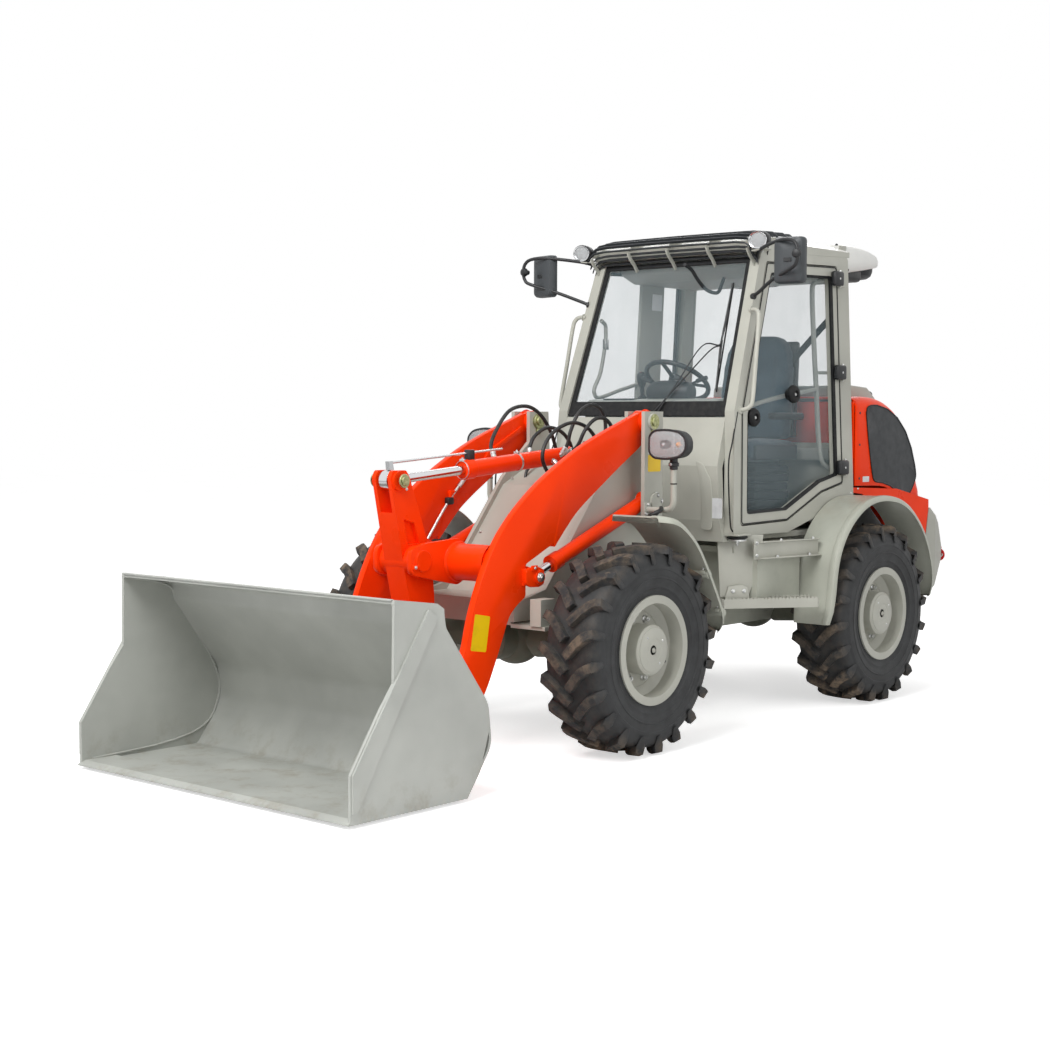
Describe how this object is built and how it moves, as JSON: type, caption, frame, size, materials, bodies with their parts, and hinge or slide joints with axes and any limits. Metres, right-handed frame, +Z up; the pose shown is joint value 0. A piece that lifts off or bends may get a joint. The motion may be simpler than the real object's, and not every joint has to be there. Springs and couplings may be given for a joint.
{
  "type": "wheel loader",
  "caption": "Compact articulated wheel loader with a bucket on lift arms, a central tilt linkage, a glazed cab and a rear engine hood.",
  "frame": {"origin": "on the ground under the middle of the overall length and width", "axes": "+X forwards to the bucket, +Y to the driver's left, +Z up"},
  "size_m": [5.356, 1.9886, 2.574],
  "materials": {
    "orange_paint": "satin",
    "warm_grey_paint": "satin",
    "olive_grey_paint": "matt",
    "bucket_grey_paint": "satin",
    "tyre_rubber": "matt",
    "chrome_rod": "polished",
    "black_plastic": "matt",
    "white_plastic": "satin",
    "seat_fabric": "matt",
    "hose_rubber": "matt",
    "cab_glass": "clear",
    "engine_iron": "matt",
    "red_paint": "satin"
  },
  "bodies": {
    "rear_unit": {"rear_frame": "olive_grey_paint", "rear_axle": "olive_grey_paint", "engine_block": "engine_iron", "counterweight": "warm_grey_paint", "tie_down_shackles": "red_paint", "rear_fenders": "olive_grey_paint", "side_tanks": "olive_grey_paint", "steps": "olive_grey_paint", "cab_frame": "warm_grey_paint", "cab_panels": "warm_grey_paint", "cab_roof": "warm_grey_paint", "cab_glass": "cab_glass", "roof_guard": "black_plastic", "seat_base": "black_plastic", "seat_cushion": "seat_fabric", "seat_back": "seat_fabric", "dash_console": "black_plastic", "steering_wheel": "black_plastic", "air_conditioner": "white_plastic", "mirrors": "black_plastic", "roof_lamps": "black_plastic", "handrails": "warm_grey_paint", "rear_body": "orange_paint"},
    "front_unit": {"front_frame": "warm_grey_paint", "front_axle": "olive_grey_paint", "front_fenders": "olive_grey_paint", "headlamps": "black_plastic", "tilt_hoses": "hose_rubber"},
    "arm": {"lift_arm": "orange_paint"},
    "lever": {"tilt_lever": "orange_paint"},
    "bucket_unit": {"quick_hitch": "orange_paint", "bucket": "bucket_grey_paint"},
    "link": {"tilt_link": "orange_paint"},
    "tilt_barrel_body": {"tilt_barrel": "orange_paint"},
    "tilt_rod_body": {"tilt_rod": "chrome_rod", "level_indicator": "chrome_rod"},
    "lift_barrel_left_body": {"lift_barrel_left": "orange_paint"},
    "lift_rod_left_body": {"lift_rod_left": "chrome_rod"},
    "lift_barrel_right_body": {"lift_barrel_right": "orange_paint"},
    "lift_rod_right_body": {"lift_rod_right": "chrome_rod"},
    "steer_barrel_body": {"steer_barrel": "orange_paint"},
    "steer_rod_body": {"steer_rod": "chrome_rod"},
    "door": {"door_frame": "warm_grey_paint", "door_glass": "cab_glass"},
    "hood_body": {"hood": "orange_paint", "hood_grilles": "black_plastic"},
    "wheel_front_left": {"rim_front_left": "warm_grey_paint", "tyre_front_left": "tyre_rubber"},
    "wheel_front_right": {"rim_front_right": "warm_grey_paint", "tyre_front_right": "tyre_rubber"},
    "wheel_rear_left": {"rim_rear_left": "warm_grey_paint", "tyre_rear_left": "tyre_rubber"},
    "wheel_rear_right": {"rim_rear_right": "warm_grey_paint", "tyre_rear_right": "tyre_rubber"}
  },
  "joints": [
    {"name": "steering", "type": "hinge", "parent": "rear_unit", "child": "front_unit", "pos_m": [-0.322, 0, 0.68], "axis": [0, 0, 1], "range_deg": [-36, 36]},
    {"name": "arm_lift", "type": "hinge", "parent": "front_unit", "child": "arm", "pos_m": [0.205, 0, 1.546], "axis": [0, -1, 0], "range_deg": [0, 87]},
    {"name": "bucket_tilt", "type": "hinge", "parent": "arm", "child": "bucket_unit", "pos_m": [1.682, 0, 0.27], "axis": [0, 1, 0], "range_deg": [-40, 100]},
    {"name": "tilt_lever_turn", "type": "hinge", "parent": "arm", "child": "lever", "pos_m": [1.507, 0, 0.91], "axis": [0, 1, 0], "range_deg": [-25.58, 10.53]},
    {"name": "tilt_link_turn", "type": "hinge", "parent": "bucket_unit", "child": "link", "pos_m": [1.777, 0, 0.42], "axis": [0, 1, 0], "range_deg": [-69.44, 28.07]},
    {"name": "tilt_barrel_turn", "type": "hinge", "parent": "front_unit", "child": "tilt_barrel_body", "pos_m": [0.112, 0, 1.395], "axis": [0, -1, 0], "range_deg": [-0.5, 79.67]},
    {"name": "tilt_rod_slide", "type": "slide", "parent": "tilt_barrel_body", "child": "tilt_rod_body", "axis": [0.9968, 0, -0.0805], "range_m": [-0.165, 0.067]},
    {"name": "lift_barrel_left_turn", "type": "hinge", "parent": "front_unit", "child": "lift_barrel_left_body", "pos_m": [0.184, 0.376, 1.15], "axis": [0, -1, 0], "range_deg": [-0.5, 77.92]},
    {"name": "lift_rod_left_slide", "type": "slide", "parent": "lift_barrel_left_body", "child": "lift_rod_left_body", "axis": [0.9358, 0, -0.3524], "range_m": [-0.002, 0.513]},
    {"name": "lift_barrel_right_turn", "type": "hinge", "parent": "front_unit", "child": "lift_barrel_right_body", "pos_m": [0.184, -0.376, 1.15], "axis": [0, -1, 0], "range_deg": [-0.5, 77.92]},
    {"name": "lift_rod_right_slide", "type": "slide", "parent": "lift_barrel_right_body", "child": "lift_rod_right_body", "axis": [0.9358, 0, -0.3524], "range_m": [-0.002, 0.513]},
    {"name": "steer_barrel_turn", "type": "hinge", "parent": "rear_unit", "child": "steer_barrel_body", "pos_m": [-0.908, 0.165, 0.68], "axis": [0, 0, 1], "range_deg": [-8.99, 8.99]},
    {"name": "steer_rod_slide", "type": "slide", "parent": "steer_barrel_body", "child": "steer_rod_body", "axis": [1, 0, 0], "range_m": [-0.104, 0.104]},
    {"name": "door_swing", "type": "hinge", "parent": "rear_unit", "child": "door", "pos_m": [-1.345, 0.633, 1], "axis": [0, -0.0482, 0.9988], "range_deg": [0, 95]},
    {"name": "hood_open", "type": "hinge", "parent": "rear_unit", "child": "hood_body", "pos_m": [-1.48, 0, 1.684], "axis": [0, 1, 0], "range_deg": [0, 50]},
    {"name": "wheel_front_left_spin", "type": "hinge", "parent": "front_unit", "child": "wheel_front_left", "pos_m": [0.732, 0.711, 0.4925], "axis": [0, 1, 0], "continuous": true},
    {"name": "wheel_front_right_spin", "type": "hinge", "parent": "front_unit", "child": "wheel_front_right", "pos_m": [0.732, -0.711, 0.4925], "axis": [0, 1, 0], "continuous": true},
    {"name": "wheel_rear_left_spin", "type": "hinge", "parent": "rear_unit", "child": "wheel_rear_left", "pos_m": [-1.376, 0.711, 0.4925], "axis": [0, 1, 0], "continuous": true},
    {"name": "wheel_rear_right_spin", "type": "hinge", "parent": "rear_unit", "child": "wheel_rear_right", "pos_m": [-1.376, -0.711, 0.4925], "axis": [0, 1, 0], "continuous": true}
  ],
  "couplings": [
    {"joint": "tilt_lever_turn", "follows": "bucket_tilt", "ratio": -0.25082},
    {"joint": "tilt_link_turn", "follows": "bucket_tilt", "ratio": -0.68938},
    {"joint": "tilt_rod_slide", "follows": "bucket_tilt", "m_per_rad": -0.093673},
    {"joint": "tilt_barrel_turn", "follows": "arm_lift", "ratio": 0.91},
    {"joint": "steer_barrel_turn", "follows": "steering", "ratio": 0.23598},
    {"joint": "steer_rod_slide", "follows": "steering", "m_per_rad": -0.16189},
    {"joint": "lift_barrel_left_turn", "follows": "arm_lift", "ratio": 0.88992},
    {"joint": "lift_rod_left_slide", "follows": "arm_lift", "m_per_rad": 0.33659},
    {"joint": "lift_barrel_right_turn", "follows": "arm_lift", "ratio": 0.88992},
    {"joint": "lift_rod_right_slide", "follows": "arm_lift", "m_per_rad": 0.33659}
  ]
}
